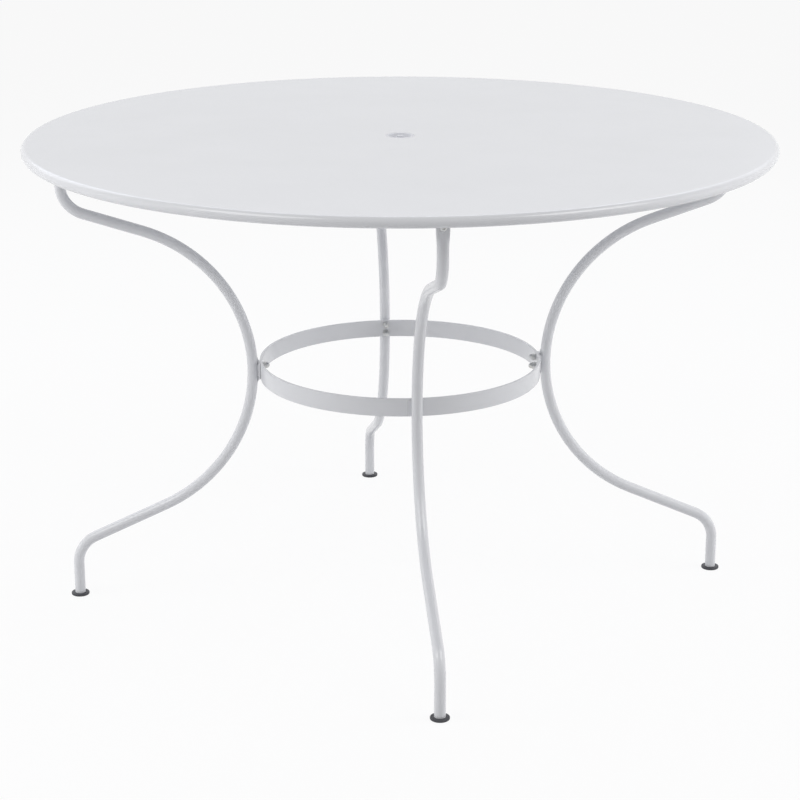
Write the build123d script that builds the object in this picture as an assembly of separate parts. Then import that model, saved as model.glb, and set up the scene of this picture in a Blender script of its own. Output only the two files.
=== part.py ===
"""Round garden table: pressed steel top, four bent tube legs and a flat hoop at their waist."""
import os
from math import cos, radians, sin, tan

from build123d import *

# Overall sizes
TOP_DIAMETER = 1170.0
TABLE_HEIGHT = 748.0

# Pressed sheet top with a rolled rim and a sunk seat round the parasol hole
SHEET = 1.5
RIM_RADIUS = 8.0
HEM_LENGTH = 8.0
SEAT_RADIUS = 22.0
SEAT_DEPTH = 2.5
PRESS_RADIUS = 0.8

# Parasol hole, the collar turned down round it, the sleeve pressed into that and the plug on top
HOLE_RADIUS = 19.6
COLLAR_LENGTH = 14.0
SLEEVE_LENGTH = 30.0
SLEEVE_WALL = 2.0
SLEEVE_PLAY = 0.1
PLUG_SIDE_GAP = 0.4
PLUG_SKIRT_GAP = 0.3
PLUG_TOP_GAP = 0.2
PLUG_WALL = 2.0
PLUG_SKIRT_LENGTH = 7.0
PLUG_END_GAP = 2.5
PLUG_LIP = 3.5
PLUG_DISH_DEPTH = 4.0
PLUG_KNOB_RADIUS = 5.5
PLUG_EDGE = 0.6

# Stiffeners under the top and the plate that joins them
HAT_WEB = 30.0
HAT_DEPTH = 18.0
HAT_FLANGE = 12.0
HAT_SHEET = 1.5
HAT_START = 34.0
HAT_LAP = 24.0
CENTRE_PLATE_RADIUS = 75.0
CENTRE_PLATE_THICKNESS = 3.0
SLEEVE_PLATE_GAP = 0.2

# Leg tube and its bends
TUBE_DIAMETER = 17.0
TUBE_WALL = 1.5
BEND_RADIUS = 48.0
LEG_TOP_INSET = 56.0
FOOT_INSET = 58.5
LOWER_BEND_HEIGHT = 87.0
UPPER_BEND_DROP = 102.5
LOWER_SLOPE = 23.7
UPPER_SLOPE = 18.0

# Flattened leg top and the folded bracket that it is bolted to
FLAT_WIDTH = 19.5
FLAT_THICKNESS = 5.0
FLAT_LENGTH = 18.5
FLARE_LENGTH = 19.0
LEG_TOP_DROP = 12.0
BRACKET_WIDTH = 18.0
BRACKET_SHEET = 3.0
BRACKET_REACH = 50.0
BRACKET_BEND = 2.0
BOLT_EDGE = 13.0
BRACKET_EDGE = 10.0

# Screws and nuts of thread size six
THREAD_DIAMETER = 6.0
HOLE_PLAY = 0.3
THREAD_PLAY = 0.05
NUT_ACROSS_FLATS = 10.0
NUT_HEIGHT = 5.0
WASHER_DIAMETER = 12.0
WASHER_THICKNESS = 1.6
BOLT_HEAD_DIAMETER = 10.5
BOLT_HEAD_HEIGHT = 3.3
SOCKET_ACROSS_FLATS = 4.0
SOCKET_DEPTH = 2.0
BOLT_END = 2.0

# Hoop, the lugs on the legs, and the studs with cap nuts that hold it
HOOP_RADIUS = 225.5
HOOP_THICKNESS = 4.0
HOOP_WIDTH = 28.5
LUG_WIDTH = 26.0
LUG_THICKNESS = 3.0
LUG_MARGIN = 1.5
LUG_HOOP_GAP = 0.1
WELD_WIDTH = 9.0
WELD_DEPTH = 2.0
WELD_MARGIN = 3.0
WELD_PLAY = 0.02
STUD_SPACING = 15.0
STUD_REACH = 9.0
CAP_NUT_HEIGHT = 11.5
CAP_NUT_HEX = 6.0
CAP_DOME_RADIUS = 4.6
CAP_NUT_GAP = 0.1

# Foot glides
GLIDE_DIAMETER = 29.0
GLIDE_THICKNESS = 4.0
GLIDE_EDGE = 1.2
GLIDE_STEM_LENGTH = 20.0
GLIDE_STEM_GAP = 0.25

# How far a drill runs past the faces it cuts
OVERCUT = 1.0

# Derived places
TOP_RADIUS = TOP_DIAMETER / 2
TUBE_RADIUS = TUBE_DIAMETER / 2
TUBE_BORE = TUBE_RADIUS - TUBE_WALL
UNDERSIDE = TABLE_HEIGHT - SHEET
SEAT_TOP = TABLE_HEIGHT - SEAT_DEPTH
SEAT_UNDERSIDE = SEAT_TOP - SHEET
COLLAR_END = SEAT_UNDERSIDE - COLLAR_LENGTH
LEG_TOP_RADIUS = TOP_RADIUS - LEG_TOP_INSET
FOOT_RADIUS = TOP_RADIUS - FOOT_INSET
LEG_TOP_END = UNDERSIDE - LEG_TOP_DROP
FLAT_START = LEG_TOP_END - FLAT_LENGTH
FLARE_START = FLAT_START - FLARE_LENGTH
BOLT_HEIGHT = LEG_TOP_END - BOLT_EDGE
BRACKET_FACE = LEG_TOP_RADIUS - FLAT_THICKNESS / 2
LUG_INNER = HOOP_RADIUS + LUG_HOOP_GAP
LUG_OUTER = LUG_INNER + LUG_THICKNESS
WAIST_RADIUS = LUG_OUTER + TUBE_RADIUS
HOOP_INNER = HOOP_RADIUS - HOOP_THICKNESS
THREAD_RADIUS = THREAD_DIAMETER / 2
SCREW_HOLE = THREAD_RADIUS + HOLE_PLAY
PLUG_FLANGE_RADIUS = SEAT_RADIUS - PLUG_SIDE_GAP
PLUG_SKIRT_RADIUS = HOLE_RADIUS - PLUG_SKIRT_GAP
PLUG_END = SEAT_TOP - PLUG_SKIRT_LENGTH
SLEEVE_RADIUS = HOLE_RADIUS - SLEEVE_PLAY
GUIDE_RADIUS = SLEEVE_RADIUS - SLEEVE_WALL

# The leg's long arc touches both slopes and has its innermost point at the waist radius
LOW, HIGH = radians(LOWER_SLOPE), radians(UPPER_SLOPE)
UPPER_BEND_HEIGHT = TABLE_HEIGHT - UPPER_BEND_DROP
SLOPE_RISE = (FOOT_RADIUS - WAIST_RADIUS) * tan(LOW) + (LEG_TOP_RADIUS - WAIST_RADIUS) * tan(HIGH)
ARC_SHARE = (1 - sin(LOW)) / cos(LOW) + (1 - sin(HIGH)) / cos(HIGH)
LEG_ARC = (UPPER_BEND_HEIGHT - LOWER_BEND_HEIGHT - SLOPE_RISE) / ARC_SHARE
ARC_CENTRE = WAIST_RADIUS + LEG_ARC
WAIST_HEIGHT = LOWER_BEND_HEIGHT + (LEG_ARC - (ARC_CENTRE - FOOT_RADIUS) * sin(LOW)) / cos(LOW)

# Compass places of the four legs, as turns about the vertical axis
SIDES = {"right": 0, "back": 90, "left": 180, "front": 270}


def turned(shape, angle):
    """The shape of the right-hand leg's place, turned to another leg's place."""
    return Rot(0, 0, angle) * shape


def radial(radius, height):
    """A plane at the right-hand leg whose normal points away from the table's axis."""
    return Plane(origin=(radius, 0, height), x_dir=(0, 1, 0), z_dir=(1, 0, 0))


def rod(radius, start, end, height):
    """A round rod along the right-hand leg's radius, between two distances from the axis."""
    return extrude(radial(start, height) * Circle(radius), end - start)


def hexagon(across_flats):
    """A hexagon given by the distance between its flats."""
    return RegularPolygon(across_flats / 2, 6, major_radius=False)


def top_circle(shape, radius):
    """The highest round edge of a pressed sheet at one radius."""
    return shape.edges().filter_by(GeomType.CIRCLE).filter_by(
        lambda edge: abs(edge.radius - radius) < SHEET / 2
    ).sort_by(Axis.Z)[-1]


def table_top():
    """The round sheet with its seat, collared hole, rolled rim and hem."""
    rim = TOP_RADIUS - RIM_RADIUS
    rim_middle = TABLE_HEIGHT - RIM_RADIUS
    rim_bottom = TABLE_HEIGHT - 2 * RIM_RADIUS
    inner = RIM_RADIUS - SHEET
    outline = [
        Polyline((HOLE_RADIUS, SEAT_TOP), (SEAT_RADIUS, SEAT_TOP),
                 (SEAT_RADIUS, TABLE_HEIGHT), (rim, TABLE_HEIGHT)),
        ThreePointArc((rim, TABLE_HEIGHT), (TOP_RADIUS, rim_middle), (rim, rim_bottom)),
        Polyline((rim, rim_bottom), (rim - HEM_LENGTH, rim_bottom),
                 (rim - HEM_LENGTH, rim_bottom + SHEET), (rim, rim_bottom + SHEET)),
        ThreePointArc((rim, rim_bottom + SHEET), (rim + inner, rim_middle), (rim, UNDERSIDE)),
        Polyline((rim, UNDERSIDE), (SEAT_RADIUS + SHEET, UNDERSIDE),
                 (SEAT_RADIUS + SHEET, SEAT_UNDERSIDE), (HOLE_RADIUS + SHEET, SEAT_UNDERSIDE),
                 (HOLE_RADIUS + SHEET, COLLAR_END), (HOLE_RADIUS, COLLAR_END),
                 (HOLE_RADIUS, SEAT_TOP)),
    ]
    top = revolve(Plane.XZ * make_face(outline), Axis.Z)
    brinks = [top_circle(top, SEAT_RADIUS), top_circle(top, HOLE_RADIUS)]
    return fillet(brinks, PRESS_RADIUS)


def parasol_sleeve():
    """The tube in the collar, below the plug, that guides a parasol pole."""
    place = Pos(0, 0, PLUG_END - PLUG_END_GAP - SLEEVE_LENGTH)
    return place * extrude(Circle(SLEEVE_RADIUS) - Circle(GUIDE_RADIUS), SLEEVE_LENGTH)


def parasol_plug():
    """The dished plug with a skirt and a centre knob to pull it by."""
    top = TABLE_HEIGHT - PLUG_TOP_GAP
    dish = PLUG_FLANGE_RADIUS - PLUG_LIP
    floor = top - PLUG_DISH_DEPTH
    skirt_bore = PLUG_SKIRT_RADIUS - PLUG_WALL
    outline = Polyline(
        (0, top), (PLUG_KNOB_RADIUS, top), (PLUG_KNOB_RADIUS, floor), (dish, floor), (dish, top),
        (PLUG_FLANGE_RADIUS, top), (PLUG_FLANGE_RADIUS, SEAT_TOP), (PLUG_SKIRT_RADIUS, SEAT_TOP),
        (PLUG_SKIRT_RADIUS, PLUG_END), (skirt_bore, PLUG_END), (skirt_bore, floor - PLUG_WALL),
        (0, floor - PLUG_WALL), (0, top),
    )
    plug = revolve(Plane.XZ * make_face(outline), Axis.Z)
    rims = plug.edges().filter_by(GeomType.CIRCLE).filter_by(
        lambda edge: abs(edge.center().Z - top) < PLUG_EDGE
    )
    return fillet(rims, PLUG_EDGE)


def centre_plate():
    """The round plate across the inner ends of the stiffeners, with a hole for the sleeve."""
    place = Pos(0, 0, UNDERSIDE - HAT_DEPTH - CENTRE_PLATE_THICKNESS)
    ring = Circle(CENTRE_PLATE_RADIUS) - Circle(SLEEVE_RADIUS + SLEEVE_PLATE_GAP)
    return place * extrude(ring, CENTRE_PLATE_THICKNESS)


def stiffener():
    """A hat section from near the hole out to the bracket of the right-hand leg."""
    half = HAT_WEB / 2
    wide = half + HAT_FLANGE
    inside = half - HAT_SHEET
    outline = Polyline(
        (-wide, 0), (-inside, 0), (-inside, HAT_SHEET - HAT_DEPTH), (inside, HAT_SHEET - HAT_DEPTH),
        (inside, 0), (wide, 0), (wide, -HAT_SHEET), (half, -HAT_SHEET), (half, -HAT_DEPTH),
        (-half, -HAT_DEPTH), (-half, -HAT_SHEET), (-wide, -HAT_SHEET), (-wide, 0),
    )
    end = BRACKET_FACE - BRACKET_REACH + HAT_LAP
    return extrude(radial(HAT_START, UNDERSIDE) * make_face(outline), end - HAT_START)


def fold_edges(strip, radius, height):
    """The edges across the right-hand bracket's strip at one corner of its outline."""
    return strip.edges().filter_by(Axis.Y).filter_by(
        lambda edge: abs(edge.center().X - radius) + abs(edge.center().Z - height) < BRACKET_SHEET / 2
    )


def leg_bracket():
    """The folded strip under the top that the right-hand leg is bolted to."""
    bottom = BOLT_HEIGHT - BRACKET_EDGE
    inner = BRACKET_FACE - BRACKET_SHEET
    start = BRACKET_FACE - BRACKET_REACH
    lower = UNDERSIDE - BRACKET_SHEET
    outline = Polyline(
        (start, UNDERSIDE), (BRACKET_FACE, UNDERSIDE), (BRACKET_FACE, bottom), (inner, bottom),
        (inner, lower), (start, lower), (start, UNDERSIDE),
    )
    strip = extrude(Plane.XZ * make_face(outline), BRACKET_WIDTH / 2, both=True)
    strip = fillet(fold_edges(strip, inner, lower), BRACKET_BEND)
    strip = fillet(fold_edges(strip, BRACKET_FACE, UNDERSIDE), BRACKET_BEND + BRACKET_SHEET)
    return strip - rod(SCREW_HOLE, inner - OVERCUT, BRACKET_FACE + OVERCUT, BOLT_HEIGHT)


def leg_path():
    """The tube's centre line from the foot up to the start of its flattened top."""
    low_turn = (90 - LOWER_SLOPE) / 2
    high_turn = (90 - UPPER_SLOPE) / 2
    low_run = BEND_RADIUS * tan(radians(low_turn))
    high_run = BEND_RADIUS * tan(radians(high_turn))
    low_in = (FOOT_RADIUS, 0, LOWER_BEND_HEIGHT - low_run)
    low_out = (FOOT_RADIUS - low_run * cos(LOW), 0, LOWER_BEND_HEIGHT + low_run * sin(LOW))
    arc_in = (ARC_CENTRE - LEG_ARC * sin(LOW), 0, WAIST_HEIGHT - LEG_ARC * cos(LOW))
    waist = (WAIST_RADIUS, 0, WAIST_HEIGHT)
    arc_out = (ARC_CENTRE - LEG_ARC * sin(HIGH), 0, WAIST_HEIGHT + LEG_ARC * cos(HIGH))
    high_in = (LEG_TOP_RADIUS - high_run * cos(HIGH), 0, UPPER_BEND_HEIGHT - high_run * sin(HIGH))
    high_out = (LEG_TOP_RADIUS, 0, UPPER_BEND_HEIGHT + high_run)
    slope_up = (cos(HIGH), 0, sin(HIGH))
    return Wire([
        Line((FOOT_RADIUS, 0, GLIDE_THICKNESS), low_in),
        TangentArc(low_in, low_out, tangent=(0, 0, 1)),
        Line(low_out, arc_in),
        ThreePointArc(arc_in, waist, arc_out),
        Line(arc_out, high_in),
        TangentArc(high_in, high_out, tangent=slope_up),
        Line(high_out, (LEG_TOP_RADIUS, 0, FLARE_START)),
    ])


def leg_form(radius, flat_width, flat_thickness):
    """One skin of the leg: the bent rod, its flare and its flattened end."""
    foot = Plane((FOOT_RADIUS, 0, GLIDE_THICKNESS))
    flare = Plane((LEG_TOP_RADIUS, 0, FLARE_START), x_dir=(0, 1, 0))
    flat = Plane((LEG_TOP_RADIUS, 0, FLAT_START), x_dir=(0, 1, 0))
    section = SlotOverall(flat_width, flat_thickness)
    bent = sweep(foot * Circle(radius), path=leg_path())
    flared = loft([flare * Circle(radius), flat * section])
    return bent + flared + extrude(flat * section, FLAT_LENGTH)


def leg():
    """The right-hand leg: a bent tube with a flattened, drilled top."""
    outer = leg_form(TUBE_RADIUS, FLAT_WIDTH, FLAT_THICKNESS)
    inner = leg_form(TUBE_BORE, FLAT_WIDTH - 2 * TUBE_WALL, FLAT_THICKNESS - 2 * TUBE_WALL)
    outside = LEG_TOP_RADIUS + FLAT_THICKNESS / 2
    drill = rod(SCREW_HOLE, BRACKET_FACE - OVERCUT, outside + OVERCUT, BOLT_HEIGHT)
    return outer - inner - drill


def leg_bolt():
    """The button-head bolt that comes in through the right-hand leg's flattened top."""
    seat = LEG_TOP_RADIUS + FLAT_THICKNESS / 2
    crown = seat + BOLT_HEAD_HEIGHT
    end = BRACKET_FACE - BRACKET_SHEET - WASHER_THICKNESS - NUT_HEIGHT - BOLT_END
    brim = BOLT_HEIGHT + BOLT_HEAD_DIAMETER / 2
    outline = [
        TangentArc((crown, BOLT_HEIGHT), (seat, brim), tangent=(0, 1)),
        Polyline((seat, brim), (seat, BOLT_HEIGHT), (crown, BOLT_HEIGHT)),
    ]
    head = revolve(Plane.XZ * make_face(outline), Axis((0, 0, BOLT_HEIGHT), (1, 0, 0)))
    socket = radial(crown - SOCKET_DEPTH, BOLT_HEIGHT) * hexagon(SOCKET_ACROSS_FLATS)
    return head + rod(THREAD_RADIUS, end, seat, BOLT_HEIGHT) - extrude(socket, SOCKET_DEPTH)


def leg_washer():
    """The washer behind the right-hand leg's bracket."""
    face = BRACKET_FACE - BRACKET_SHEET
    ring = Circle(WASHER_DIAMETER / 2) - Circle(SCREW_HOLE)
    return extrude(radial(face - WASHER_THICKNESS, BOLT_HEIGHT) * ring, WASHER_THICKNESS)


def leg_nut():
    """The nut on the right-hand leg's bolt."""
    face = BRACKET_FACE - BRACKET_SHEET - WASHER_THICKNESS
    ring = hexagon(NUT_ACROSS_FLATS) - Circle(THREAD_RADIUS + THREAD_PLAY)
    return extrude(radial(face - NUT_HEIGHT, BOLT_HEIGHT) * ring, NUT_HEIGHT)


def stud_heights():
    """The heights of the two studs on each lug."""
    return [WAIST_HEIGHT - STUD_SPACING / 2, WAIST_HEIGHT + STUD_SPACING / 2]


def hoop():
    """The flat bar rolled into a ring, with a pair of holes at each leg."""
    place = Pos(0, 0, WAIST_HEIGHT - HOOP_WIDTH / 2)
    ring = place * extrude(Circle(HOOP_RADIUS) - Circle(HOOP_INNER), HOOP_WIDTH)
    for angle in SIDES.values():
        for height in stud_heights():
            ring -= turned(rod(SCREW_HOLE, HOOP_INNER - OVERCUT, HOOP_RADIUS + OVERCUT, height), angle)
    return ring


def hoop_lug():
    """The plate welded to the right-hand leg's waist, with its two weld beads."""
    tall = HOOP_WIDTH - 2 * LUG_MARGIN
    place = radial(LUG_INNER, WAIST_HEIGHT)
    plate = extrude(place * Rectangle(LUG_WIDTH, tall), LUG_THICKNESS)
    bead_height = tall - 2 * WELD_MARGIN
    bead = extrude(place * Rectangle(WELD_WIDTH, bead_height), LUG_THICKNESS + WELD_DEPTH)
    tube = sweep(
        Plane((FOOT_RADIUS, 0, GLIDE_THICKNESS)) * Circle(TUBE_RADIUS + WELD_PLAY), path=leg_path()
    )
    return plate + bead - tube


def hoop_stud(height):
    """One stud welded to the right-hand lug, reaching through the hoop."""
    return rod(THREAD_RADIUS, HOOP_INNER - STUD_REACH, LUG_INNER, height)


def cap_nut(height):
    """One domed nut on a stud of the right-hand lug."""
    face = HOOP_INNER - CAP_NUT_GAP
    dome_end = face - CAP_NUT_HEIGHT
    hexed = extrude(radial(face - CAP_NUT_HEX, height) * hexagon(NUT_ACROSS_FLATS), CAP_NUT_HEX)
    neck = rod(CAP_DOME_RADIUS, dome_end + CAP_DOME_RADIUS, face, height)
    dome = Pos(dome_end + CAP_DOME_RADIUS, 0, height) * Sphere(CAP_DOME_RADIUS)
    bore = rod(THREAD_RADIUS + THREAD_PLAY, HOOP_INNER - STUD_REACH - THREAD_PLAY, face, height)
    return hexed + neck + dome - bore


def foot_glide():
    """The mushroom-shaped glide in the end of the right-hand leg."""
    place = Pos(FOOT_RADIUS, 0, 0)
    disc = fillet(extrude(Circle(GLIDE_DIAMETER / 2), GLIDE_THICKNESS).edges(), GLIDE_EDGE)
    stem = extrude(Circle(TUBE_BORE - GLIDE_STEM_GAP), GLIDE_THICKNESS + GLIDE_STEM_LENGTH)
    return place * (disc + stem)


def all_parts():
    """Every node of the table by name."""
    parts = {
        "table_top": table_top(),
        "parasol_sleeve": parasol_sleeve(),
        "parasol_plug": parasol_plug(),
        "centre_plate": centre_plate(),
        "hoop": hoop(),
    }
    single = {
        "stiffener": stiffener(),
        "leg_bracket": leg_bracket(),
        "leg": leg(),
        "hoop_lug": hoop_lug(),
        "foot_glide": foot_glide(),
    }
    for name, shape in single.items():
        for side, angle in SIDES.items():
            parts[f"{name}_{side}"] = turned(shape, angle)
    grouped = {
        "leg_bolts": [leg_bolt()],
        "leg_washers": [leg_washer()],
        "leg_nuts": [leg_nut()],
        "hoop_studs": [hoop_stud(height) for height in stud_heights()],
        "hoop_cap_nuts": [cap_nut(height) for height in stud_heights()],
    }
    for name, shapes in grouped.items():
        parts[name] = Compound([turned(shape, angle) for angle in SIDES.values() for shape in shapes])
    return parts


os.makedirs("parts", exist_ok=True)
print(f"leg arc radius {LEG_ARC:.2f}, waist height {WAIST_HEIGHT:.2f}, waist radius {WAIST_RADIUS:.2f}")
for node, solid in all_parts().items():
    export_step(solid, f"parts/{node}.step")
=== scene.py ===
"""Round garden table of powder-coated steel: its finishes, small forms, light and camera, in metres."""
import logging
from collections.abc import Iterable, Sequence
from dataclasses import dataclass
from enum import Enum
from math import cos, pi, radians, sin, sqrt, tan, tau
from typing import Any

import bmesh
import bpy
from mathutils import Matrix, Vector


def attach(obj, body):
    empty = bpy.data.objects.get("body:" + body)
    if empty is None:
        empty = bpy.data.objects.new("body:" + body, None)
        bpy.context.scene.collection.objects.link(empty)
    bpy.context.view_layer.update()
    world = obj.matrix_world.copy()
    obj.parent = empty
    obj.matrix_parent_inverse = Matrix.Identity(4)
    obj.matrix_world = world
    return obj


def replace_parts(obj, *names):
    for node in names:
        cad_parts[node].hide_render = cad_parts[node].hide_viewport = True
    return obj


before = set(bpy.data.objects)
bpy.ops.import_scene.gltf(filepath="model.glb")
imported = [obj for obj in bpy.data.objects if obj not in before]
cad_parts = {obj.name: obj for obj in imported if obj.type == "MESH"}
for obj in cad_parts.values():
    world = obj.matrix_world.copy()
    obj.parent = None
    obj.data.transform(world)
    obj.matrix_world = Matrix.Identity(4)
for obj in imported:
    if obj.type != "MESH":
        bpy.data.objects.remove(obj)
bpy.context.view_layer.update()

MM = 0.001
MERGE = 0.004 * MM
SHARP = radians(32)
WHITE = (1.0, 1.0, 1.0, 1.0)
# A noise texture's values seldom leave this span
NOISE_LOW, NOISE_HIGH = 0.3, 0.7
# A metric thread's depth and the places of its flanks, as shares of its pitch
THREAD_DEPTH = 0.61
FLANK_START, CREST_START, CREST_END = 0.2, 0.54, 0.66
# Facets round and along a ripple of a weld bead
RIPPLE_FACETS = (8, 6)
log = logging.getLogger("garden_table")


class Side(Enum):
    """The four legs' places, as turns about the table's axis in degrees."""

    RIGHT = 0
    BACK = 90
    LEFT = 180
    FRONT = 270

    @property
    def word(self) -> str:
        """The side as the nodes spell it."""
        return self.name.lower()

    @property
    def turn(self) -> Matrix:
        """The turn that brings a form of the right-hand leg to this side."""
        return Matrix.Rotation(radians(self.value), 4, "Z")


class Slot(Enum):
    """The record's material slots."""

    STEEL = "painted_steel"
    ZINC = "zinc_steel"
    GLIDE = "glide_plastic"
    PLUG = "plug_plastic"


class Body(Enum):
    """The parts of the table that move on their own."""

    TABLE = "table"
    PLUG = "plug"


def srgb(code: str) -> tuple[float, float, float, float]:
    """Turns an sRGB hex value into the linear colour that a shader takes.

    Args:
        code: six hex digits after a hash sign.

    Returns:
        Linear red, green and blue, with an alpha of one.
    """
    parts = [int(code[i:i + 2], 16) / 255 for i in (1, 3, 5)]
    red, green, blue = (v / 12.92 if v <= 0.04045 else ((v + 0.055) / 1.055) ** 2.4 for v in parts)
    return red, green, blue, 1.0


def add_node(tree: bpy.types.NodeTree, kind: str, inputs: dict[Any, Any] | None = None,
             **settings: Any) -> bpy.types.Node:
    """Adds a node, sets its properties and sets or links its sockets.

    Args:
        tree: the node tree that gets the node.
        kind: the node's type.
        inputs: a value or an output socket for each input, by the input's name or number.
        settings: the node's properties.

    Returns:
        The new node.
    """
    node = tree.nodes.new(kind)
    for name, value in settings.items():
        setattr(node, name, value)
    for key, value in (inputs or {}).items():
        if isinstance(value, bpy.types.NodeSocket):
            tree.links.new(value, node.inputs[key])
        else:
            node.inputs[key].default_value = value
    return node


def new_tree(name: str) -> tuple[bpy.types.Material, bpy.types.NodeTree]:
    """Makes a material with an empty node tree.

    Args:
        name: the material's name.

    Returns:
        The material and its tree.
    """
    material = bpy.data.materials.new(name)
    material.use_nodes = True
    material.node_tree.nodes.clear()
    return material, material.node_tree


@dataclass(frozen=True)
class PowderCoat:
    """Polyester powder coat, sprayed on steel and baked.

    It gives the eye a pale cool grey with a satin sheen: lamps show as soft bands with blurred edges, and
    the melted powder leaves a faint orange peel that breaks those bands up.
    """

    name: str = "powder_coated_steel"
    colour: str = "#E1E2E5"
    thin_colour: str = "#DADBDE"
    roughness: tuple[float, float] = (0.18, 0.24)
    # A polyester resin has about 1.5; this is matched to the bands of light on the photographed rim
    ior: float = 1.9
    patch_mm: float = 140.0
    # Real orange peel is about 1.5 mm across, drawn coarser here so that it shows
    peel_mm: float = 3.5
    peel_depth_mm: float = 0.012
    grain_mm: float = 0.7

    def make(self) -> bpy.types.Material:
        """Makes the material.

        Returns:
            The material, with its own node tree.
        """
        material, tree = new_tree(self.name)
        place = add_node(tree, "ShaderNodeTexCoord").outputs["Object"]
        patch = add_node(tree, "ShaderNodeTexNoise", {
            "Vector": place, "Scale": 1 / (self.patch_mm * MM), "Detail": 2.0, "Roughness": 0.5})
        colour = add_node(tree, "ShaderNodeMix", {
            "Factor": patch.outputs["Fac"], "A": srgb(self.thin_colour), "B": srgb(self.colour)},
            data_type="RGBA")
        grain = add_node(tree, "ShaderNodeTexNoise", {
            "Vector": place, "Scale": 1 / (self.grain_mm * MM), "Detail": 1.0})
        sheen = add_node(tree, "ShaderNodeMapRange", {
            "Value": grain.outputs["Fac"], "From Min": NOISE_LOW, "From Max": NOISE_HIGH,
            "To Min": self.roughness[0], "To Max": self.roughness[1]})
        peel = add_node(tree, "ShaderNodeTexNoise", {
            "Vector": place, "Scale": 1 / (self.peel_mm * MM), "Detail": 1.5, "Roughness": 0.45})
        bump = add_node(tree, "ShaderNodeBump", {
            "Height": peel.outputs["Fac"], "Strength": 1.0, "Distance": self.peel_depth_mm * MM})
        shader = add_node(tree, "ShaderNodeBsdfPrincipled", {
            "Base Color": colour.outputs["Result"], "Roughness": sheen.outputs["Result"], "IOR": self.ior,
            "Normal": bump.outputs["Normal"]})
        add_node(tree, "ShaderNodeOutputMaterial", {"Surface": shader.outputs["BSDF"]})
        return material


@dataclass(frozen=True)
class ZincPlate:
    """Zinc plated and passivated on rolled steel fasteners.

    It gives the eye a dull silver with slight blue and straw patches and small blurred glints.
    """

    name: str = "zinc_plated_steel"
    blue: str = "#BCC1C9"
    straw: str = "#CBC8C0"
    roughness: tuple[float, float] = (0.26, 0.42)
    patch_mm: float = 5.0
    crystal_mm: float = 0.5
    crystal_depth_mm: float = 0.008

    def make(self) -> bpy.types.Material:
        """Makes the material.

        Returns:
            The material, with its own node tree.
        """
        material, tree = new_tree(self.name)
        place = add_node(tree, "ShaderNodeTexCoord").outputs["Object"]
        patch = add_node(tree, "ShaderNodeTexNoise", {
            "Vector": place, "Scale": 1 / (self.patch_mm * MM), "Detail": 3.0})
        colour = add_node(tree, "ShaderNodeMix", {
            "Factor": patch.outputs["Fac"], "A": srgb(self.blue), "B": srgb(self.straw)}, data_type="RGBA")
        crystal = add_node(tree, "ShaderNodeTexVoronoi", {
            "Vector": place, "Scale": 1 / (self.crystal_mm * MM)})
        sheen = add_node(tree, "ShaderNodeMapRange", {
            "Value": patch.outputs["Fac"], "From Min": NOISE_LOW, "From Max": NOISE_HIGH,
            "To Min": self.roughness[0], "To Max": self.roughness[1]})
        bump = add_node(tree, "ShaderNodeBump", {
            "Height": crystal.outputs["Distance"], "Strength": 0.6, "Distance": self.crystal_depth_mm * MM})
        shader = add_node(tree, "ShaderNodeBsdfPrincipled", {
            "Base Color": colour.outputs["Result"], "Metallic": 1.0, "Roughness": sheen.outputs["Result"],
            "Normal": bump.outputs["Normal"]})
        add_node(tree, "ShaderNodeOutputMaterial", {"Surface": shader.outputs["BSDF"]})
        return material


@dataclass(frozen=True)
class MouldedPlastic:
    """Injection-moulded plastic from a spark-eroded mould.

    It gives the eye an even body colour under a fine matt grain, with slight flow marks in its tone.
    """

    name: str
    colour: str
    flow_colour: str
    roughness: tuple[float, float]
    ior: float
    flow_mm: float = 9.0
    # Real mould grain is about 0.2 mm across, drawn coarser here so that it shows
    grain_mm: float = 0.8
    grain_depth_mm: float = 0.015

    def make(self) -> bpy.types.Material:
        """Makes the material.

        Returns:
            The material, with its own node tree.
        """
        material, tree = new_tree(self.name)
        place = add_node(tree, "ShaderNodeTexCoord").outputs["Object"]
        flow = add_node(tree, "ShaderNodeTexNoise", {
            "Vector": place, "Scale": 1 / (self.flow_mm * MM), "Detail": 2.0, "Distortion": 0.6})
        colour = add_node(tree, "ShaderNodeMix", {
            "Factor": flow.outputs["Fac"], "A": srgb(self.flow_colour), "B": srgb(self.colour)},
            data_type="RGBA")
        grain = add_node(tree, "ShaderNodeTexNoise", {
            "Vector": place, "Scale": 1 / (self.grain_mm * MM), "Detail": 2.0})
        sheen = add_node(tree, "ShaderNodeMapRange", {
            "Value": grain.outputs["Fac"], "From Min": NOISE_LOW, "From Max": NOISE_HIGH,
            "To Min": self.roughness[0], "To Max": self.roughness[1]})
        bump = add_node(tree, "ShaderNodeBump", {
            "Height": grain.outputs["Fac"], "Strength": 0.8, "Distance": self.grain_depth_mm * MM})
        shader = add_node(tree, "ShaderNodeBsdfPrincipled", {
            "Base Color": colour.outputs["Result"], "Roughness": sheen.outputs["Result"], "IOR": self.ior,
            "Normal": bump.outputs["Normal"]})
        add_node(tree, "ShaderNodeOutputMaterial", {"Surface": shader.outputs["BSDF"]})
        return material


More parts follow.
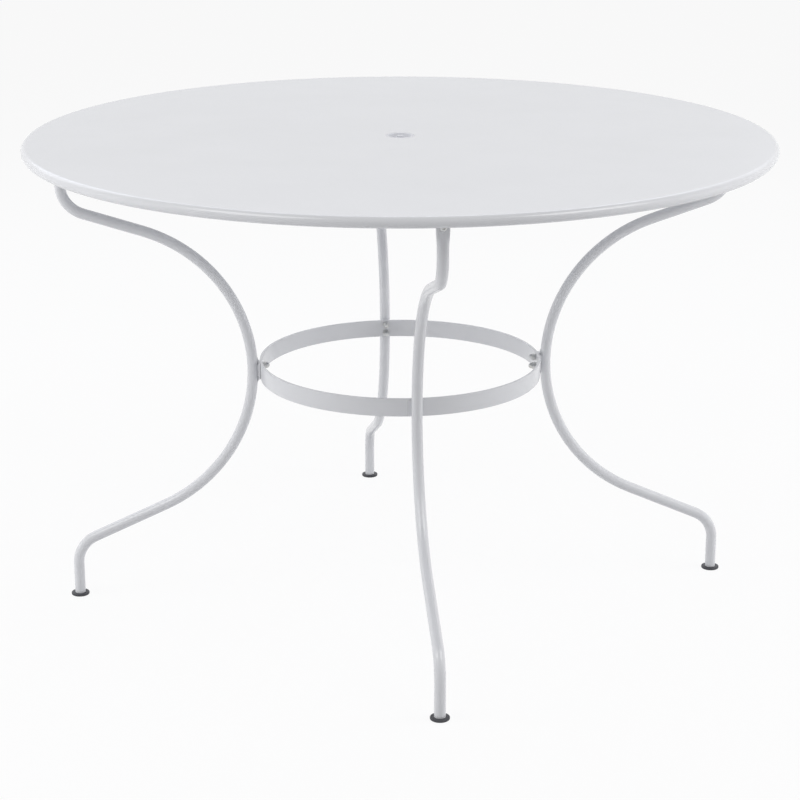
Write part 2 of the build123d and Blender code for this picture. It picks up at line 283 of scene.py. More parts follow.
@dataclass(frozen=True)
class StudioSweep:
    """Painted studio floor, plain white to the lens, that keeps a soft share of the table's shadow.

    It gives the eye the photograph's white ground, and throws a grey bounce back at the table. From below
    it is clear, so that the table's underside can be looked at.
    """

    name: str = "studio_floor_paint"
    colour: str = "#F4F4F5"
    mottle_colour: str = "#FAFAFB"
    bounce: str = "#DCDCDD"
    shadow_share: float = 0.1
    mottle_mm: float = 400.0

    def make(self) -> bpy.types.Material:
        """Makes the material.

        Returns:
            The material, with its own node tree.
        """
        material, tree = new_tree(self.name)
        place = add_node(tree, "ShaderNodeTexCoord").outputs["Object"]
        mottle = add_node(tree, "ShaderNodeTexNoise", {"Vector": place, "Scale": 1 / (self.mottle_mm * MM)})
        paint = add_node(tree, "ShaderNodeMix", {
            "Factor": mottle.outputs["Fac"], "A": srgb(self.colour), "B": srgb(self.mottle_colour)},
            data_type="RGBA")
        seen = seen_rays(tree)
        shaded = add_node(tree, "ShaderNodeBsdfDiffuse", {"Color": paint.outputs["Result"]})
        glow = add_node(tree, "ShaderNodeEmission", {"Color": WHITE, "Strength": 1.0})
        ground = add_node(tree, "ShaderNodeMixShader", {
            0: self.shadow_share, 1: glow.outputs["Emission"], 2: shaded.outputs["BSDF"]})
        grey = add_node(tree, "ShaderNodeBsdfDiffuse", {"Color": srgb(self.bounce)})
        both = add_node(tree, "ShaderNodeMixShader", {
            0: seen, 1: grey.outputs["BSDF"], 2: ground.outputs["Shader"]})
        clear = add_node(tree, "ShaderNodeBsdfTransparent")
        below = add_node(tree, "ShaderNodeNewGeometry")
        sheet = add_node(tree, "ShaderNodeMixShader", {
            0: below.outputs["Backfacing"], 1: both.outputs["Shader"], 2: clear.outputs["BSDF"]})
        add_node(tree, "ShaderNodeOutputMaterial", {"Surface": sheet.outputs["Shader"]})
        return material


def seen_rays(tree: bpy.types.NodeTree) -> bpy.types.NodeSocket:
    """Adds the test for rays that show the ground itself: camera, glossy and transmission rays.

    Args:
        tree: the node tree that gets the test.

    Returns:
        A socket that is one for those rays and nought for the others.
    """
    path = add_node(tree, "ShaderNodeLightPath")
    first = add_node(tree, "ShaderNodeMath", {
        0: path.outputs["Is Camera Ray"], 1: path.outputs["Is Glossy Ray"]}, operation="MAXIMUM")
    second = add_node(tree, "ShaderNodeMath", {
        0: first.outputs["Value"], 1: path.outputs["Is Transmission Ray"]}, operation="MAXIMUM")
    return second.outputs["Value"]


def profile(bm: bmesh.types.BMesh, points: Iterable[tuple[float, float]], closed: bool) -> list[Any]:
    """Draws a line of edges in the XZ plane.

    Args:
        bm: the mesh that gets the line.
        points: its corners, as distance from the Z axis and height in millimetres.
        closed: whether the last corner joins the first.

    Returns:
        The line's vertices and edges.
    """
    verts = [bm.verts.new((r * MM, 0.0, z * MM)) for r, z in points]
    pairs = list(zip(verts, verts[1:]))
    if closed:
        pairs.append((verts[-1], verts[0]))
    return verts + [bm.edges.new(pair) for pair in pairs]


def spun(points: Iterable[tuple[float, float]], steps: int, closed: bool = False) -> bmesh.types.BMesh:
    """Turns a profile once round the Z axis.

    Args:
        points: the profile, as distance from the axis and height in millimetres.
        steps: how many facets go round.
        closed: whether the profile is a closed loop, as for a ring.

    Returns:
        The mesh, with its seam and poles merged and its faces outwards.
    """
    bm = bmesh.new()
    line = profile(bm, points, closed)
    bmesh.ops.spin(bm, geom=line, cent=(0, 0, 0), axis=(0, 0, 1), angle=tau, steps=steps, use_merge=True)
    return closed_up(bm)


def closed_up(bm: bmesh.types.BMesh) -> bmesh.types.BMesh:
    """Merges a mesh's doubles and turns its faces outwards.

    Args:
        bm: the mesh.

    Returns:
        The same mesh.
    """
    bmesh.ops.remove_doubles(bm, verts=bm.verts[:], dist=MERGE)
    bmesh.ops.recalc_face_normals(bm, faces=bm.faces[:])
    return bm


def rounded(bm: bmesh.types.BMesh, edges: list[Any], offset_mm: float, segments: int) -> None:
    """Rounds the edges that it is given.

    Args:
        bm: the mesh.
        edges: the edges to round.
        offset_mm: how far the rounding reaches from the edge.
        segments: how many facets it gets.
    """
    bmesh.ops.bevel(bm, geom=edges, offset=offset_mm * MM, offset_type="OFFSET", segments=segments,
                    profile=0.5, affect="EDGES", clamp_overlap=True, material=-1)


def soften(bm: bmesh.types.BMesh, offset_mm: float, segments: int = 2) -> None:
    """Rounds every sharp edge of a mesh.

    Args:
        bm: the mesh.
        offset_mm: how far the rounding reaches from the edge.
        segments: how many facets it gets.
    """
    edges = [e for e in bm.edges if e.is_manifold and e.calc_face_angle() > SHARP]
    rounded(bm, edges, offset_mm, segments)
    bmesh.ops.recalc_face_normals(bm, faces=bm.faces[:])


def ring(bm: bmesh.types.BMesh, radius: float, height: float, facets: int) -> list[Any]:
    """Adds a circle of edges.

    Args:
        bm: the mesh.
        radius: the circle's radius in millimetres.
        height: its height in millimetres.
        facets: how many edges it has.

    Returns:
        Its edges.
    """
    made = bmesh.ops.create_circle(bm, segments=facets, radius=radius * MM,
                                   matrix=Matrix.Translation((0, 0, height * MM)))
    return list({e for v in made["verts"] for e in v.link_edges})


def hexagon(bm: bmesh.types.BMesh, flats: float, height: float, facets: int,
            chamfer: float = 0.0) -> list[Any]:
    """Adds a hexagon of edges whose corners run off along a chamfer.

    Args:
        bm: the mesh.
        flats: the distance between opposite flats in millimetres.
        height: its height in millimetres.
        facets: how many edges it has, a multiple of six.
        chamfer: how far a corner moves in height for each millimetre that it stands out past the flats.

    Returns:
        Its edges.
    """
    made = bmesh.ops.create_circle(bm, segments=6, radius=flats / sqrt(3) * MM,
                                   matrix=Matrix.Translation((0, 0, height * MM)))
    sides = list({e for v in made["verts"] for e in v.link_edges})
    cut = bmesh.ops.subdivide_edges(bm, edges=sides, cuts=facets // 6 - 1)
    edges = list({e for e in cut["geom"] if isinstance(e, bmesh.types.BMEdge)})
    for vert in {v for e in edges for v in e.verts}:
        vert.co.z += chamfer * (vert.co.xy.length - flats / 2 * MM)
    return edges


def bridged(bm: bmesh.types.BMesh, loops: Sequence[list[Any]], closed: bool) -> bmesh.types.BMesh:
    """Joins loops of edges into one skin, one after another.

    Args:
        bm: the mesh that holds the loops.
        loops: the loops in order.
        closed: whether the last loop joins the first; otherwise both ends are filled.

    Returns:
        The mesh, with its faces outwards.
    """
    for one, two in zip(loops, loops[1:]):
        bmesh.ops.bridge_loops(bm, edges=one + two)
    if closed:
        bmesh.ops.bridge_loops(bm, edges=loops[-1] + loops[0])
    else:
        bmesh.ops.holes_fill(bm, edges=loops[0] + loops[-1], sides=0)
    return closed_up(bm)


def threaded_rod(radius: float, pitch: float, length: float, facets: int = 20) -> bmesh.types.BMesh:
    """Winds a screw thread upwards from the origin along the Z axis.

    Args:
        radius: the thread's outer radius in millimetres.
        pitch: its rise for each turn in millimetres.
        length: the rod's length in millimetres.
        facets: how many facets make a turn.

    Returns:
        The closed rod.
    """
    root = radius - THREAD_DEPTH * pitch
    turns = max(1, int(length / pitch) - 1)
    shares = ((root, 0.0), (root, FLANK_START), (radius, CREST_START), (radius, CREST_END), (root, 1.0))
    bm = bmesh.new()
    line = profile(bm, [(r, share * pitch) for r, share in shares], closed=False)
    bmesh.ops.spin(bm, geom=line, cent=(0, 0, 0), axis=(0, 0, 1), dvec=(0, 0, pitch * MM / facets),
                   angle=tau * turns, steps=facets * turns)
    bmesh.ops.remove_doubles(bm, verts=bm.verts[:], dist=MERGE)
    bmesh.ops.holes_fill(bm, edges=[e for e in bm.edges if e.is_boundary], sides=0)
    bmesh.ops.recalc_face_normals(bm, faces=bm.faces[:])
    return bm


def joined(parts: Iterable[tuple[bmesh.types.BMesh, Matrix]]) -> bmesh.types.BMesh:
    """Puts meshes into one, each at its place.

    Args:
        parts: each mesh with the matrix that places it.

    Returns:
        One mesh that holds them all.
    """
    whole = bmesh.new()
    for part, place in parts:
        copy = bpy.data.meshes.new("copy")
        part.to_mesh(copy)
        copy.transform(place)
        whole.from_mesh(copy)
        bpy.data.meshes.remove(copy)
    return whole


def weld_run(bm: bmesh.types.BMesh, points: Sequence[Vector], across: float, up: float,
             along: float) -> None:
    """Lays a weld bead as overlapping ripples along a line.

    Args:
        bm: the mesh that gets the bead.
        points: the ripples' middles in metres.
        across: half the bead's width in millimetres.
        up: half its height in millimetres.
        along: half a ripple's length in millimetres.
    """
    for i, point in enumerate(points):
        run = points[min(i + 1, len(points) - 1)] - points[max(i - 1, 0)]
        heading = Matrix.Rotation(run.to_2d().angle_signed(Vector((1, 0)), 0.0), 4, "Z")
        shape = Matrix.Diagonal((along * MM, across * MM, up * MM, 1.0))
        bmesh.ops.create_uvsphere(bm, u_segments=RIPPLE_FACETS[0], v_segments=RIPPLE_FACETS[1], radius=1.0,
                                  matrix=Matrix.Translation(point) @ heading @ shape)


def add_piece(name: str, bm: bmesh.types.BMesh, finish: bpy.types.Material,
              body: Body = Body.TABLE) -> bpy.types.Object:
    """Turns a mesh into a dressed piece that moves with a body.

    Args:
        name: the piece's name.
        bm: its mesh, in place, which is freed.
        finish: its material.
        body: the body that it rides on.

    Returns:
        The piece's object, at the origin.
    """
    mesh = bpy.data.meshes.new(name)
    bm.to_mesh(mesh)
    bm.free()
    mesh.shade_smooth()
    mesh.set_sharp_from_angle(angle=SHARP)
    mesh.materials.append(finish)
    piece = bpy.data.objects.new(name, mesh)
    bpy.context.scene.collection.objects.link(piece)
    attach(piece, body.value)
    log.info("%s: %d faces on %s", name, len(mesh.polygons), body.value)
    return piece


def dress(node: str, finish: bpy.types.Material) -> None:
    """Gives a CAD node that keeps its own shape its finish.

    Args:
        node: the node's name.
        finish: its material.
    """
    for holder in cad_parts[node].material_slots:
        holder.material = finish
    log.info("%s: dressed in %s", node, finish.name)


@dataclass
class TableTop:
    """Pressed top with its stiffeners, centre plate and parasol sleeve, in millimetres."""

    coat: bpy.types.Material
    underside: float = 746.5
    hat_web: float = 30.0
    hat_depth: float = 18.0
    hat_flange: float = 12.0
    hat_sheet: float = 1.5
    hat_bend: float = 1.2
    bend_facets: int = 3
    hat_start: float = 34.0
    hat_end: float = 500.5
    plate_radius: float = 75.0
    plate_low: float = 725.5
    plate_high: float = 728.5
    sleeve_radius: float = 19.5
    spots: int = 8
    spot_radius: float = 3.2
    spot_margin: float = 22.0
    spot_facets: int = 12
    # Each corner of a spot weld's profile, as a share of its radius and a height over the flange
    spot_form: tuple[tuple[float, float], ...] = (
        (0.0, -0.1), (0.45, -0.12), (0.7, -0.4), (1.0, 0.05), (0.0, 0.05))
    bracket_edge: float = 9.0
    bracket_low: float = 743.5
    # Half the width, height and ripple length of the beads at the plate's rim, the brackets and the sleeve
    rim_bead: tuple[float, float, float] = (1.9, 1.7, 1.3)
    bracket_bead: tuple[float, float, float] = (1.9, 1.7, 1.4)
    sleeve_bead: tuple[float, float, float] = (1.8, 1.6, 1.3)
    # How far out and up the beads' middles lie from the edges that they run along
    rim_shift: tuple[float, float] = (0.8, -0.9)
    bracket_shift: tuple[float, float] = (0.63, 1.9)
    sleeve_shift: tuple[float, float] = (0.9, -0.7)
    # Where a bead's first ripple lies, how far the next ones are apart and how many there are
    rim_run: tuple[float, float, int] = (-12.0, 1.6, 16)
    bracket_run: tuple[float, float, int] = (503.0, 1.7, 11)
    sleeve_ripples: int = 90

    def build(self) -> None:
        """Dresses the sheet work and adds the stiffeners, spot welds and weld beads."""
        for node in ("table_top", "parasol_sleeve", "centre_plate"):
            dress(node, self.coat)
        for side in Side:
            dress(f"leg_bracket_{side.word}", self.coat)
            self.stiffener(side)
        self.spot_welds()
        self.weld_beads()

    def stiffener(self, side: Side) -> None:
        """Folds one hat section with rounded bends.

        Args:
            side: the leg that it runs out to.
        """
        half, wide = self.hat_web / 2, self.hat_web / 2 + self.hat_flange
        inside, low = half - self.hat_sheet, self.hat_sheet - self.hat_depth
        corners = [(-wide, 0), (-inside, 0), (-inside, low), (inside, low), (inside, 0), (wide, 0),
                   (wide, -self.hat_sheet), (half, -self.hat_sheet), (half, -self.hat_depth),
                   (-half, -self.hat_depth), (-half, -self.hat_sheet), (-wide, -self.hat_sheet)]
        bm = bmesh.new()
        verts = [bm.verts.new((self.hat_start * MM, y * MM, (self.underside + z) * MM)) for y, z in corners]
        end = bm.faces.new(verts)
        run = bmesh.ops.extrude_face_region(bm, geom=[end], use_keep_orig=True)
        moved = [v for v in run["geom"] if isinstance(v, bmesh.types.BMVert)]
        bmesh.ops.translate(bm, verts=moved, vec=((self.hat_end - self.hat_start) * MM, 0, 0))
        closed_up(bm)
        inner = (half + wide) / 2 * MM
        bends = [e for e in bm.edges
                 if abs(e.verts[0].co.x - e.verts[1].co.x) > MM and abs(e.verts[0].co.y) < inner]
        rounded(bm, bends, self.hat_bend, self.bend_facets)
        bmesh.ops.transform(bm, matrix=side.turn, verts=bm.verts[:])
        bmesh.ops.recalc_face_normals(bm, faces=bm.faces[:])
        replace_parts(add_piece(f"hat_{side.word}", bm, self.coat), f"stiffener_{side.word}")

    def spot_welds(self) -> None:
        """Presses a row of spot welds under each flange."""
        low = self.underside - self.hat_sheet
        form = [(self.spot_radius * share, low + rise) for share, rise in self.spot_form]
        dimple = spun(form, self.spot_facets)
        middle = self.hat_web / 2 + self.hat_flange / 2
        first, last = self.hat_start + self.spot_margin, self.hat_end - self.spot_margin
        row = [first + (last - first) * i / (self.spots - 1) for i in range(self.spots)]
        places = [side.turn @ Matrix.Translation((r * MM, y * MM, 0))
                  for side in Side for y in (-middle, middle) for r in row]
        add_piece("spot_welds", joined((dimple, place) for place in places), self.coat)

    def weld_beads(self) -> None:
        """Lays the beads round the sleeve, along the plate's rim and beside the brackets."""
        bm = bmesh.new()
        start, step, count = self.rim_run
        out, up = self.rim_shift
        rim = [Vector((sqrt(self.plate_radius ** 2 - y * y) + out, y, self.plate_high + up)) * MM
               for y in (start + step * i for i in range(count))]
        start, step, count = self.bracket_run
        along = [start + step * i for i in range(count)]
        out, up = self.bracket_shift
        for side in Side:
            weld_run(bm, [side.turn @ p for p in rim], *self.rim_bead)
            for edge in (-self.bracket_edge - out, self.bracket_edge + out):
                run = [Vector((x, edge, self.bracket_low + up)) * MM for x in along]
                weld_run(bm, [side.turn @ p for p in run], *self.bracket_bead)
        out, up = self.sleeve_shift
        turns = [tau * i / self.sleeve_ripples for i in range(self.sleeve_ripples + 1)]
        collar = [Vector((cos(a), sin(a), 0)) * (self.sleeve_radius + out) * MM
                  + Vector((0, 0, self.plate_low + up)) * MM for a in turns]
        weld_run(bm, collar, *self.sleeve_bead)
        add_piece("underside_welds", bm, self.coat)


@dataclass
class ParasolPlug:
    """Plug that closes the parasol hole, in millimetres."""

    plastic: bpy.types.Material
    top: float = 747.8
    seat: float = 745.5
    flange_radius: float = 21.6
    lip: float = 3.5
    dish_depth: float = 4.0
    dish_slope: float = 1.2
    knob_radius: float = 5.5
    skirt_radius: float = 19.3
    skirt_end: float = 738.5
    wall: float = 2.0
    edge: float = 0.55
    edge_facets: int = 3
    facets: int = 64
    ribs: int = 8
    rib_depth: float = 0.5
    rib_width: float = 0.9
    rib_margin: float = 1.5
    rib_edge: float = 0.15

    def build(self) -> None:
        """Turns the dished cap with its knob, skirt and grip ribs."""
        floor = self.top - self.dish_depth
        dish = self.flange_radius - self.lip
        bore = self.skirt_radius - self.wall
        cap = spun([(0, self.top), (self.knob_radius, self.top), (self.knob_radius, floor),
                    (dish - self.dish_slope, floor),
                    (dish, self.top), (self.flange_radius, self.top), (self.flange_radius, self.seat),
                    (self.skirt_radius, self.seat), (self.skirt_radius, self.skirt_end),
                    (bore, self.skirt_end), (bore, floor - self.wall), (0, floor - self.wall)], self.facets)
        soften(cap, self.edge, self.edge_facets)
        rib = bmesh.new()
        size = Vector((self.rib_depth, self.rib_width, self.seat - self.skirt_end - self.rib_margin)) * MM
        bmesh.ops.create_cube(rib, size=1.0, matrix=Matrix.Diagonal((*size, 1.0)))
        soften(rib, self.rib_edge)
        place = Matrix.Translation(Vector((self.skirt_radius, 0, (self.seat + self.skirt_end) / 2)) * MM)
        grips = [(rib, Matrix.Rotation(tau * i / self.ribs, 4, "Z") @ place) for i in range(self.ribs)]
        bm = joined([(cap, Matrix.Identity(4)), *grips])
        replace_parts(add_piece("plug_cap", bm, self.plastic, Body.PLUG), "parasol_plug")


@dataclass
class Legs:
    """Bent tube legs with their foot glides, in millimetres."""

    coat: bpy.types.Material
    nylon: bpy.types.Material
    foot_radius: float = 526.5
    glide_radius: float = 14.5
    glide_height: float = 4.0
    glide_edge: float = 1.2
    edge_facets: int = 4
    facets: int = 48
    sole_depth: float = 0.7
    sole_rim: float = 4.8
    sole_slope: float = 0.7
    stem_radius: float = 6.75
    stem_top: float = 24.0
    fins: int = 4
    fin_depth: float = 1.0
    # Where a fin's foot, lip and end lie, as shares of the fins' spacing
    fin_shares: tuple[float, float, float] = (0.55, 0.6, 0.8)
    # Corners of the tube's facets that lie closer than this are one
    seam: float = 0.001

    def build(self) -> None:
        """Smooths the tubes and turns a glide for each foot."""
        for side in Side:
            self.tube(side)
            self.glide(side)

    def tube(self, side: Side) -> None:
        """Joins the loose facets of a copy of the bent tube into one smooth skin.

        Args:
            side: the leg that the tube is.
        """
        bm = bmesh.new()
        bm.from_mesh(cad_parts[f"leg_{side.word}"].data)
        bmesh.ops.remove_doubles(bm, verts=bm.verts[:], dist=self.seam * MM)
        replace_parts(add_piece(f"tube_{side.word}", bm, self.coat), f"leg_{side.word}")

    def glide(self, side: Side) -> None:
        """Turns one mushroom glide with a hollowed sole and a finned stem.

        Args:
            side: the leg that it is pressed into.
        """
        pitch = (self.stem_top - self.glide_height) / self.fins
        core = self.stem_radius - self.fin_depth
        foot, lip, end = self.fin_shares
        stem = []
        for i in range(self.fins):
            low = self.glide_height + i * pitch
            stem += [(core, low), (core, low + pitch * foot), (self.stem_radius, low + pitch * lip),
                     (self.stem_radius, low + pitch * end), (core, low + pitch)]
        hollow = self.glide_radius - self.sole_rim
        sole = [(0, self.sole_depth), (hollow - self.sole_slope, self.sole_depth), (hollow, 0)]
        outer = [(self.glide_radius, 0), (self.glide_radius, self.glide_height)]
        bm = spun([*sole, *outer, *stem, (0, self.stem_top)], self.facets)
        rim = [e for e in bm.edges if e.calc_face_angle(0) > SHARP
               and all(abs(v.co.xy.length - self.glide_radius * MM) < MERGE for v in e.verts)]
        rounded(bm, rim, self.glide_edge, self.edge_facets)
        place = side.turn @ Matrix.Translation((self.foot_radius * MM, 0, 0))
        bmesh.ops.transform(bm, matrix=place, verts=bm.verts[:])
        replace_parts(add_piece(f"glide_{side.word}", bm, self.nylon), f"foot_glide_{side.word}")


@dataclass
class HoopRing:
    """Flat hoop at the waist and the lugs that carry it, in millimetres."""

    coat: bpy.types.Material
    radius: float = 225.5
    thickness: float = 4.0
    width: float = 28.5
    waist: float = 373.39
    edge: float = 0.9
    edge_facets: int = 3
    facets: int = 256
    lug_half: float = 12.75
    lug_face: float = 228.6
    # The radius of the leg's sweep past the lug
    sweep: float = 244.0
    fillet_rise: float = 8.0
    ripples: int = 8
    # Half a ripple's reach, width and height at the lug, and its facets round and along
    ripple: tuple[float, float, float] = (2.5, 4.7, 0.85)
    ripple_facets: tuple[int, int] = (14, 6)

    def build(self) -> None:
        """Rolls the hoop, dresses the lugs and lays the weld fillets at their ends."""
        low, high = self.waist - self.width / 2, self.waist + self.width / 2
        inner = self.radius - self.thickness
        bar = [(inner, low), (self.radius, low), (self.radius, high), (inner, high)]
        bm = spun(bar, self.facets, closed=True)
        soften(bm, self.edge, self.edge_facets)
        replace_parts(add_piece("hoop_bar", bm, self.coat), "hoop")
        for side in Side:
            dress(f"hoop_lug_{side.word}", self.coat)
        self.lug_welds()

    def lug_welds(self) -> None:
        """Lays a rippled fillet from each end of a lug up or down the tube."""
        bm = bmesh.new()
        reach, half, high = self.ripple
        around, along = self.ripple_facets
        for side in Side:
            for end in (-1, 1):
                for i in range(self.ripples):
                    share = i / self.ripples
                    size = Vector((reach * (1 - share), half * sqrt(1 - share * share), high)) * MM
                    rise = self.lug_half + self.fillet_rise * share
                    out = self.lug_face + rise * rise / (2 * self.sweep)
                    place = Matrix.Translation(Vector((out, 0, self.waist + end * rise)) * MM)
                    bmesh.ops.create_uvsphere(bm, u_segments=around, v_segments=along, radius=1.0,
                                              matrix=side.turn @ place @ Matrix.Diagonal((*size, 1.0)))
        add_piece("lug_welds", bm, self.coat)


@dataclass
class Fasteners:
    """Bolts at the leg tops, and studs with cap nuts at the hoop, in millimetres."""

    zinc: bpy.types.Material
    thread_radius: float = 2.97
    pitch: float = 1.0
    flats: float = 10.0
    chamfer: float = tan(radians(30))
    facets: int = 24
    bolt_height: float = 721.5
    bolt_seat: float = 531.5
    bolt_end: float = 514.9
    head_radius: float = 5.25
    head_height: float = 3.3
    # The head's flat middle as a share of its radius, its straight edge and the steps of its curve
    head_flat: float = 0.56
    head_edge: float = 0.35
    head_steps: int = 6
    socket_flats: float = 4.0
    socket_depth: float = 2.0
    # How much wider the socket's mouth is, and how deep that lead goes
    lead_share: float = 1.06
    lead_depth: float = 0.15
    washer_face: float = 523.5
    washer_radius: float = 6.0
    washer_bore: float = 3.3
    washer_thickness: float = 1.6
    washer_edge: float = 0.25
    washer_facets: int = 36
    nut_height: float = 5.0
    # The round face of a nut as a share of its flats, and how far its corners start below that face
    face_share: float = 0.96
    corner_drop: float = 0.12
    bore_play: float = 0.08
    countersink: float = 0.5
    hoop_inner: float = 221.5
    stud_outer: float = 225.6
    stud_inner: float = 212.5
    waist: float = 373.39
    stud_spacing: float = 15.0
    cap_gap: float = 0.1
    cap_height: float = 11.5
    cap_hex: float = 6.0
    cap_step: float = 0.1
    dome_radius: float = 4.6
    dome_steps: int = 8

    def build(self) -> None:
        """Makes the four sets of fasteners."""
        outward = Matrix.Rotation(pi / 2, 4, "Y")
        inward = Matrix.Rotation(-pi / 2, 4, "Y")
        bolt_line = Vector((0, 0, self.bolt_height)) * MM
        nut_face = self.washer_face - self.washer_thickness
        self.place_set("bolt_set", "leg_bolts", self.bolt(), outward, self.bolt_seat, [bolt_line])
        self.place_set("washer_set", "leg_washers", self.washer(), inward, self.washer_face, [bolt_line])
        self.place_set("nut_set", "leg_nuts", self.nut(), inward, nut_face, [bolt_line])
        lines = [Vector((0, 0, self.waist + s * self.stud_spacing / 2)) * MM for s in (-1, 1)]
        stud = threaded_rod(self.thread_radius, self.pitch, self.stud_outer - self.stud_inner)
        self.place_set("stud_set", "hoop_studs", stud, inward, self.stud_outer, lines)
        cap_seat = self.hoop_inner - self.cap_gap
        self.place_set("cap_nut_set", "hoop_cap_nuts", self.cap_nut(), inward, cap_seat, lines)

    def place_set(self, name: str, node: str, form: bmesh.types.BMesh, heading: Matrix, radius: float,
                  lines: Sequence[Vector]) -> None:
        """Puts one form at every leg.

        Args:
            name: the piece's name.
            node: the CAD node that it stands for.
            form: the form, built up the Z axis from its seat.
            heading: the turn that lays the form along the leg's radius.
            radius: the distance of its seat from the table's axis.
            lines: the heights at which it is repeated.
        """
        places = [side.turn @ Matrix.Translation(line + Vector((radius * MM, 0, 0))) @ heading
                  for side in Side for line in lines]
        bm = joined((form, place) for place in places)
        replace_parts(add_piece(name, bm, self.zinc), node)

    def bolt(self) -> bmesh.types.BMesh:
        """Forms a button head with a hexagon socket on a threaded shank.

        Returns:
            The bolt, with its head's seat at the origin.
        """
        bm = bmesh.new()
        flat = self.head_radius * self.head_flat
        dome = self.head_height - self.head_edge
        curve = [(flat + (self.head_radius - flat) * cos(a), self.head_edge + dome * sin(a))
                 for a in (pi / 2 * i / self.head_steps for i in range(self.head_steps + 1))]
        loops = [ring(bm, self.thread_radius, 0, self.facets), ring(bm, self.head_radius, 0, self.facets)]
        loops += [ring(bm, r, z, self.facets) for r, z in curve]
        loops.append(hexagon(bm, self.socket_flats * self.lead_share, self.head_height, self.facets))
        loops.append(hexagon(bm, self.socket_flats, self.head_height - self.lead_depth, self.facets))
        loops.append(hexagon(bm, self.socket_flats, self.head_height - self.socket_depth, self.facets))
        head = bridged(bm, loops, closed=False)
        shank = threaded_rod(self.thread_radius, self.pitch, self.bolt_seat - self.bolt_end)
        return joined([(head, Matrix.Identity(4)), (shank, Matrix.Rotation(pi, 4, "X"))])

    def washer(self) -> bmesh.types.BMesh:
        """Stamps a washer with softened edges.

        Returns:
            The washer, lying on the origin.
        """
        bore, outer, thick = self.washer_bore, self.washer_radius, self.washer_thickness
        bm = spun([(bore, 0), (outer, 0), (outer, thick), (bore, thick)], self.washer_facets, closed=True)
        soften(bm, self.washer_edge)
        return bm

    def nut(self) -> bmesh.types.BMesh:
        """Forms a hexagon nut with chamfered corners and a countersunk bore.

        Returns:
            The nut, lying on the origin.
        """
        bm = bmesh.new()
        bore, face = self.thread_radius + self.bore_play, self.flats / 2 * self.face_share
        sink, drop, high = self.countersink, self.corner_drop, self.nut_height
        loops = [ring(bm, bore, sink, self.facets), ring(bm, bore + sink, 0, self.facets),
                 ring(bm, face, 0, self.facets), hexagon(bm, self.flats, drop, self.facets, self.chamfer),
                 hexagon(bm, self.flats, high - drop, self.facets, -self.chamfer),
                 ring(bm, face, high, self.facets), ring(bm, bore + sink, high, self.facets),
                 ring(bm, bore, high - sink, self.facets)]
        return bridged(bm, loops, closed=True)

    def cap_nut(self) -> bmesh.types.BMesh:
        """Forms a hexagon nut with a domed cap.

        Returns:
            The cap nut, standing on the origin.
        """
        bm = bmesh.new()
        face, neck = self.flats / 2 * self.face_share, self.cap_height - self.dome_radius
        loops = [ring(bm, face, 0, self.facets),
                 hexagon(bm, self.flats, self.corner_drop, self.facets, self.chamfer),
                 hexagon(bm, self.flats, self.cap_hex - self.corner_drop, self.facets, -self.chamfer),
                 ring(bm, face, self.cap_hex, self.facets),
                 ring(bm, self.dome_radius, self.cap_hex + self.cap_step, self.facets)]
        loops += [ring(bm, self.dome_radius * cos(a), neck + self.dome_radius * sin(a), self.facets)
                  for a in (pi / 2 * i / self.dome_steps for i in range(self.dome_steps))]
        return bridged(bm, loops, closed=False)


@dataclass(frozen=True)
class Lamp:
    """A softbox, with its place, aim and sides in metres, its power in watts and its tint.

    A low one isn't mirrored, because the flat top would show it as a white patch.
    """

    name: str
    place: tuple[float, float, float]
    aim: tuple[float, float, float]
    sides: tuple[float, float]
    watts: float
    tint: str = "#FFFFFF"
    mirrored: bool = True

    def light(self) -> None:
        """Hangs the softbox."""
        data = bpy.data.lights.new(self.name, "AREA")
        data.shape = "RECTANGLE"
        data.size, data.size_y = self.sides
        data.energy = self.watts
        data.color = srgb(self.tint)[:3]
        lamp = bpy.data.objects.new(self.name, data)
        lamp.location = self.place
        lamp.visible_glossy = self.mirrored
        lamp.rotation_euler = (Vector(self.aim) - Vector(self.place)).to_track_quat("-Z", "Y").to_euler()
        bpy.context.scene.collection.objects.link(lamp)


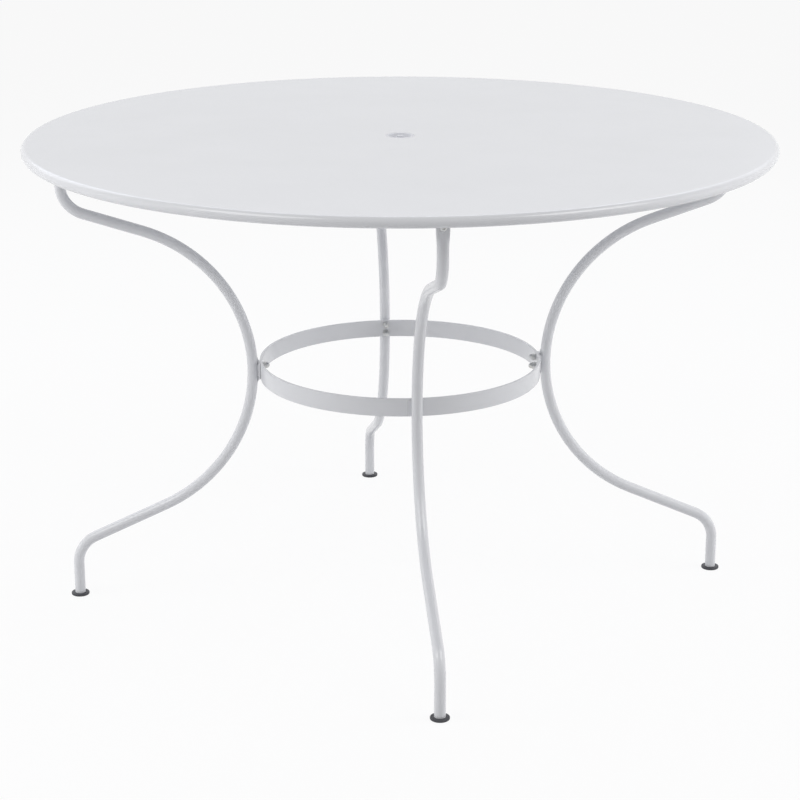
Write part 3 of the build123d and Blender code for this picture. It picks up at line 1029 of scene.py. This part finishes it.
@dataclass
class Studio:
    """Floor, softboxes, surrounding light and the photograph's camera, in metres and degrees."""

    floor: bpy.types.Material
    floor_side: float = 60.0
    floor_tiles: int = 8
    ambient: str = "#ABABAC"
    lens: float = 97.7
    sensor_width: float = 36.0
    clip_end: float = 200.0
    distance: float = 3.3564
    height: float = 1.373
    turn: float = 6.24
    tilt: float = 17.503
    lamps: tuple[Lamp, ...] = (
        Lamp("front_left_softbox", (-2.43, -1.58, 3.35), (0.0, 0.0, 0.7), (2.2, 1.75), 23.0),
        Lamp("front_right_softbox", (2.43, -1.58, 3.35), (0.0, 0.0, 0.7), (2.2, 1.75), 26.0),
        Lamp("left_fill", (-3.15, -0.4, 1.1), (0.0, 0.0, 0.45), (1.4, 1.8), 33.0, mirrored=False),
        Lamp("right_fill", (3.15, -0.4, 1.1), (0.0, 0.0, 0.45), (1.4, 1.8), 34.0, mirrored=False),
        Lamp("back_left_softbox", (-2.06, 2.45, 2.6), (0.0, 0.0, 0.7), (2.0, 2.0), 11.0, "#F3F6FF"),
        Lamp("back_right_softbox", (2.06, 2.45, 2.6), (0.0, 0.0, 0.7), (2.0, 2.0), 7.0, "#F3F6FF"),
        Lamp("back_softbox", (0.0, 2.4, 2.3), (0.0, 0.3, 0.7), (3.0, 1.2), 10.0, "#E9EFFF"),
    )

    def build(self) -> None:
        """Sets up the floor, the light and the camera."""
        bm = bmesh.new()
        bmesh.ops.create_grid(bm, x_segments=self.floor_tiles, y_segments=self.floor_tiles,
                              size=self.floor_side / 2)
        mesh = bpy.data.meshes.new("floor")
        bm.to_mesh(mesh)
        bm.free()
        mesh.materials.append(self.floor)
        ground = bpy.data.objects.new("floor", mesh)
        bpy.context.scene.collection.objects.link(ground)
        for lamp in self.lamps:
            lamp.light()
        self.surround()
        self.camera()

    def surround(self) -> None:
        """Lights the table from all round, and shows white where nothing stands."""
        world = bpy.data.worlds.new("studio_surround")
        world.use_nodes = True
        tree = world.node_tree
        tree.nodes.clear()
        dim = add_node(tree, "ShaderNodeBackground", {"Color": srgb(self.ambient), "Strength": 1.0})
        white = add_node(tree, "ShaderNodeBackground", {"Color": WHITE, "Strength": 1.0})
        both = add_node(tree, "ShaderNodeMixShader", {
            0: seen_rays(tree), 1: dim.outputs["Background"], 2: white.outputs["Background"]})
        add_node(tree, "ShaderNodeOutputWorld", {"Surface": both.outputs["Shader"]})
        bpy.context.scene.world = world
        bpy.context.scene.view_settings.view_transform = "Standard"

    def camera(self) -> None:
        """Sets the camera where the photograph was taken from."""
        data = bpy.data.cameras.new("photograph_camera")
        data.lens = self.lens
        data.sensor_width = self.sensor_width
        data.clip_end = self.clip_end
        camera = bpy.data.objects.new("photograph_camera", data)
        turn = radians(self.turn)
        camera.location = (-self.distance * sin(turn), -self.distance * cos(turn), self.height)
        camera.rotation_euler = (radians(90 - self.tilt), 0.0, -turn)
        bpy.context.scene.collection.objects.link(camera)
        bpy.context.scene.camera = camera


def main() -> None:
    """Builds and dresses the table, then the studio around it."""
    logging.basicConfig(level=logging.INFO, format="%(name)s %(message)s")
    coat = PowderCoat().make()
    zinc = ZincPlate().make()
    nylon = MouldedPlastic("moulded_nylon_dark", "#434348", "#3A3A3F", (0.46, 0.6), 1.53).make()
    plug = MouldedPlastic("moulded_polyethylene_pale", "#DCDDE1", "#D5D6DB", (0.36, 0.46), 1.51).make()
    TableTop(coat).build()
    ParasolPlug(plug).build()
    Legs(coat, nylon).build()
    HoopRing(coat).build()
    Fasteners(zinc).build()
    Studio(StudioSweep().make()).build()


if __name__ == "__main__":
    main()
